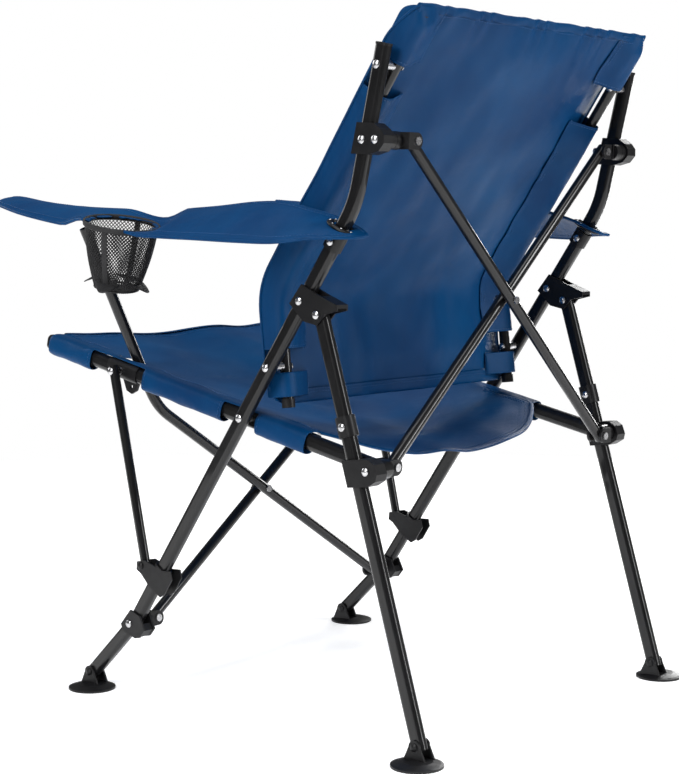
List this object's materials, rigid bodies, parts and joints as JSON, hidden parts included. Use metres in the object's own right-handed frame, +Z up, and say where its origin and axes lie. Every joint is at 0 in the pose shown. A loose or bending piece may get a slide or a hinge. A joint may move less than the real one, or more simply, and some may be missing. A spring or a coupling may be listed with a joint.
{
  "type": "folding camp chair",
  "caption": "Folding camp chair: two scissor-linked tube side frames with a cloth seat sling, back panel and armrests and a mesh cup holder.",
  "frame": {"origin": "on the floor, under the middle of the chair's bounding box", "axes": "+X towards the sitter's left, +Y towards the back, +Z up"},
  "size_m": [0.7976, 0.821, 0.974],
  "materials": {
    "frame": "black powder coat, semi-gloss",
    "plastic": "moulded, fine grain",
    "rivets": "bright domed heads",
    "cloth": "coated plain weave, slight sheen",
    "mesh": "open net with bound edges"
  },
  "bodies": {
    "left_frame": {"left_main_tube": "frame", "left_arm_collar": "plastic", "left_leg_bracket": "plastic", "left_upper_collar": "plastic", "left_backrest_tube": "frame", "left_lower_bracket": "plastic", "left_frame_rivets": "rivets", "left_tube_caps": "plastic", "back_panel": "cloth"},
    "left_rear_leg_body": {"left_rear_leg": "frame", "left_stop_collar": "plastic", "left_rear_leg_rivets": "rivets"},
    "left_slider_body": {"left_rear_slider": "plastic", "left_slider_rivet": "rivets"},
    "left_rail_body": {"left_seat_rail": "frame", "left_rail_saddle": "plastic", "left_strut_rivet": "rivets", "seat_sling": "cloth"},
    "left_strut_body": {"left_strut": "frame"},
    "left_strut_slide_body": {"left_strut_collar": "plastic"},
    "left_front_knuckle_body": {"left_front_knuckle": "plastic"},
    "left_arm_body": {"left_armrest": "cloth", "cup_holder": "mesh"},
    "left_front_foot_body": {"left_front_foot": "plastic"},
    "left_rear_foot_body": {"left_rear_foot": "plastic"},
    "left_upper_knuckle_body": {"left_upper_knuckle": "plastic"},
    "left_lower_knuckle_body": {"left_slider_knuckle": "plastic"},
    "right_frame": {"right_main_tube": "frame", "right_arm_collar": "plastic", "right_leg_bracket": "plastic", "right_upper_collar": "plastic", "right_backrest_tube": "frame", "right_lower_bracket": "plastic", "right_frame_rivets": "rivets", "right_tube_caps": "plastic"},
    "right_rear_leg_body": {"right_rear_leg": "frame", "right_stop_collar": "plastic", "right_rear_leg_rivets": "rivets"},
    "right_slider_body": {"right_rear_slider": "plastic", "right_slider_rivet": "rivets"},
    "right_rail_body": {"right_seat_rail": "frame", "right_rail_saddle": "plastic", "right_strut_rivet": "rivets"},
    "right_strut_body": {"right_strut": "frame"},
    "right_strut_slide_body": {"right_strut_collar": "plastic"},
    "right_front_knuckle_body": {"right_front_knuckle": "plastic"},
    "right_arm_body": {"right_armrest": "cloth"},
    "right_front_foot_body": {"right_front_foot": "plastic"},
    "right_rear_foot_body": {"right_rear_foot": "plastic"},
    "right_upper_knuckle_body": {"right_upper_knuckle": "plastic"},
    "right_lower_knuckle_body": {"right_slider_knuckle": "plastic"},
    "rear_cross_a": {"rear_cross_tube_a": "frame", "rear_cross_bolts_a": "rivets"},
    "rear_cross_b": {"rear_cross_tube_b": "frame", "rear_cross_bolts_b": "rivets"},
    "front_cross_a": {"front_cross_tube_a": "frame", "front_cross_bolts_a": "rivets"},
    "front_cross_b": {"front_cross_tube_b": "frame", "front_cross_bolts_b": "rivets"}
  },
  "joints": [
    {"name": "left_upper_swivel", "type": "hinge", "parent": "left_frame", "child": "left_upper_knuckle_body", "pos_m": [0.2628, 0.3045, 0.803], "axis": [-1, 0, 0], "range_deg": [0, 16.5]},
    {"name": "fold", "type": "hinge", "parent": "left_upper_knuckle_body", "child": "rear_cross_a", "pos_m": [0.2328, 0.3045, 0.803], "axis": [0, -0.9994, 0.035], "range_deg": [0, 37.7], "deforming": ["seat_sling", "back_panel"]},
    {"name": "rear_crossing", "type": "hinge", "parent": "rear_cross_a", "child": "rear_cross_b", "pos_m": [-0.0112, 0.297, 0.58875], "axis": [0, 0.9994, -0.035], "range_deg": [0, 75.42]},
    {"name": "right_upper_pivot", "type": "hinge", "parent": "rear_cross_b", "child": "right_upper_knuckle_body", "pos_m": [-0.2552, 0.3045, 0.803], "axis": [0, -0.9994, 0.035], "range_deg": [0, 37.72]},
    {"name": "right_upper_swivel", "type": "hinge", "parent": "right_upper_knuckle_body", "child": "right_frame", "pos_m": [-0.2852, 0.3045, 0.803], "axis": [1, 0, 0], "range_deg": [0, 16.5]},
    {"name": "right_lower_pivot", "type": "hinge", "parent": "rear_cross_a", "child": "right_lower_knuckle_body", "pos_m": [-0.2552, 0.2895, 0.3745], "axis": [0, 0.9994, -0.035], "range_deg": [0, 37.72]},
    {"name": "left_lower_pivot", "type": "hinge", "parent": "rear_cross_b", "child": "left_lower_knuckle_body", "pos_m": [0.2328, 0.2895, 0.3745], "axis": [0, -0.9994, 0.035], "range_deg": [0, 37.72]},
    {"name": "left_rear_leg_swing", "type": "hinge", "parent": "left_frame", "child": "left_rear_leg_body", "pos_m": [0.2838, 0.2055, 0.576], "axis": [-1, 0, 0], "range_deg": [0, 35.31]},
    {"name": "left_slider_travel", "type": "slide", "parent": "left_rear_leg_body", "child": "left_slider_body", "axis": [0, 0.288, -0.9576], "range_m": [0, 0.17385]},
    {"name": "left_rail_swing", "type": "hinge", "parent": "left_frame", "child": "left_rail_body", "pos_m": [0.2718, 0.0621, 0.4285], "axis": [-1, 0, 0], "range_deg": [0, 66.76]},
    {"name": "left_strut_swing", "type": "hinge", "parent": "left_rail_body", "child": "left_strut_body", "pos_m": [0.2788, -0.196, 0.48], "axis": [1, 0, 0], "range_deg": [0, 53.37]},
    {"name": "left_strut_collar_travel", "type": "slide", "parent": "left_frame", "child": "left_strut_slide_body", "axis": [0, 0.5664, 0.8241], "range_m": [0, 0.24155]},
    {"name": "left_front_swivel", "type": "hinge", "parent": "left_frame", "child": "left_front_knuckle_body", "pos_m": [0.2663, -0.1585, 0.11], "axis": [-1, 0, 0], "range_deg": [0, 20.06]},
    {"name": "left_arm_lift", "type": "hinge", "parent": "left_frame", "child": "left_arm_body", "pos_m": [0.2838, 0.2535, 0.69], "axis": [-1, 0, 0], "range_deg": [0, 45.01], "deforming": ["left_armrest"]},
    {"name": "left_front_foot_pivot", "type": "hinge", "parent": "left_frame", "child": "left_front_foot_body", "pos_m": [0.2838, -0.2465, 0.024], "axis": [1, 0, 0], "range_deg": [-20, 30]},
    {"name": "left_rear_foot_pivot", "type": "hinge", "parent": "left_rear_leg_body", "child": "left_rear_foot_body", "pos_m": [0.2838, 0.3715, 0.024], "axis": [1, 0, 0], "range_deg": [-30, 20]},
    {"name": "right_rear_leg_swing", "type": "hinge", "parent": "right_frame", "child": "right_rear_leg_body", "pos_m": [-0.3062, 0.2055, 0.576], "axis": [-1, 0, 0], "range_deg": [0, 35.31]},
    {"name": "right_slider_travel", "type": "slide", "parent": "right_rear_leg_body", "child": "right_slider_body", "axis": [0, 0.288, -0.9576], "range_m": [0, 0.17385]},
    {"name": "right_rail_swing", "type": "hinge", "parent": "right_frame", "child": "right_rail_body", "pos_m": [-0.2942, 0.0621, 0.4285], "axis": [-1, 0, 0], "range_deg": [0, 66.76]},
    {"name": "right_strut_swing", "type": "hinge", "parent": "right_rail_body", "child": "right_strut_body", "pos_m": [-0.3012, -0.196, 0.48], "axis": [1, 0, 0], "range_deg": [0, 53.37]},
    {"name": "right_strut_collar_travel", "type": "slide", "parent": "right_frame", "child": "right_strut_slide_body", "axis": [0, 0.5664, 0.8241], "range_m": [0, 0.24155]},
    {"name": "right_front_swivel", "type": "hinge", "parent": "right_frame", "child": "right_front_knuckle_body", "pos_m": [-0.2887, -0.1585, 0.11], "axis": [-1, 0, 0], "range_deg": [0, 20.06]},
    {"name": "right_arm_lift", "type": "hinge", "parent": "right_frame", "child": "right_arm_body", "pos_m": [-0.3062, 0.2535, 0.69], "axis": [-1, 0, 0], "range_deg": [0, 45.01], "deforming": ["right_armrest"]},
    {"name": "right_front_foot_pivot", "type": "hinge", "parent": "right_frame", "child": "right_front_foot_body", "pos_m": [-0.3062, -0.2465, 0.024], "axis": [1, 0, 0], "range_deg": [-20, 30]},
    {"name": "right_rear_foot_pivot", "type": "hinge", "parent": "right_rear_leg_body", "child": "right_rear_foot_body", "pos_m": [-0.3062, 0.3715, 0.024], "axis": [1, 0, 0], "range_deg": [-30, 20]},
    {"name": "left_front_pivot", "type": "hinge", "parent": "left_front_knuckle_body", "child": "front_cross_a", "pos_m": [0.2388, -0.1585, 0.11], "axis": [0, 0.9951, 0.099], "range_deg": [0, 42.68]},
    {"name": "right_front_pivot", "type": "hinge", "parent": "right_front_knuckle_body", "child": "front_cross_b", "pos_m": [-0.2612, -0.1585, 0.11], "axis": [0, -0.9951, -0.099], "range_deg": [0, 42.68]}
  ],
  "couplings": [
    {"joint": "left_upper_swivel", "follows": "fold", "ratio": 0.4374},
    {"joint": "rear_crossing", "follows": "fold", "ratio": 2},
    {"joint": "right_upper_pivot", "follows": "fold", "ratio": 1},
    {"joint": "right_upper_swivel", "follows": "fold", "ratio": 0.4374},
    {"joint": "right_lower_pivot", "follows": "fold", "ratio": 1},
    {"joint": "left_lower_pivot", "follows": "fold", "ratio": 1},
    {"joint": "left_rear_leg_swing", "follows": "fold", "ratio": 0.93634},
    {"joint": "left_slider_travel", "follows": "fold", "m_per_rad": 0.26414},
    {"joint": "left_rail_swing", "follows": "fold", "ratio": 1.7706},
    {"joint": "left_strut_swing", "follows": "fold", "ratio": 1.4154},
    {"joint": "left_strut_collar_travel", "follows": "fold", "m_per_rad": 0.36703},
    {"joint": "left_front_swivel", "follows": "fold", "ratio": 0.53183},
    {"joint": "left_arm_lift", "follows": "fold", "ratio": 1.1936},
    {"joint": "right_rear_leg_swing", "follows": "fold", "ratio": 0.93634},
    {"joint": "right_slider_travel", "follows": "fold", "m_per_rad": 0.26414},
    {"joint": "right_rail_swing", "follows": "fold", "ratio": 1.7706},
    {"joint": "right_strut_swing", "follows": "fold", "ratio": 1.4154},
    {"joint": "right_strut_collar_travel", "follows": "fold", "m_per_rad": 0.36703},
    {"joint": "right_front_swivel", "follows": "fold", "ratio": 0.53183},
    {"joint": "right_arm_lift", "follows": "fold", "ratio": 1.1936},
    {"joint": "left_front_pivot", "follows": "fold", "ratio": 1.1318},
    {"joint": "right_front_pivot", "follows": "fold", "ratio": 1.1318}
  ]
}
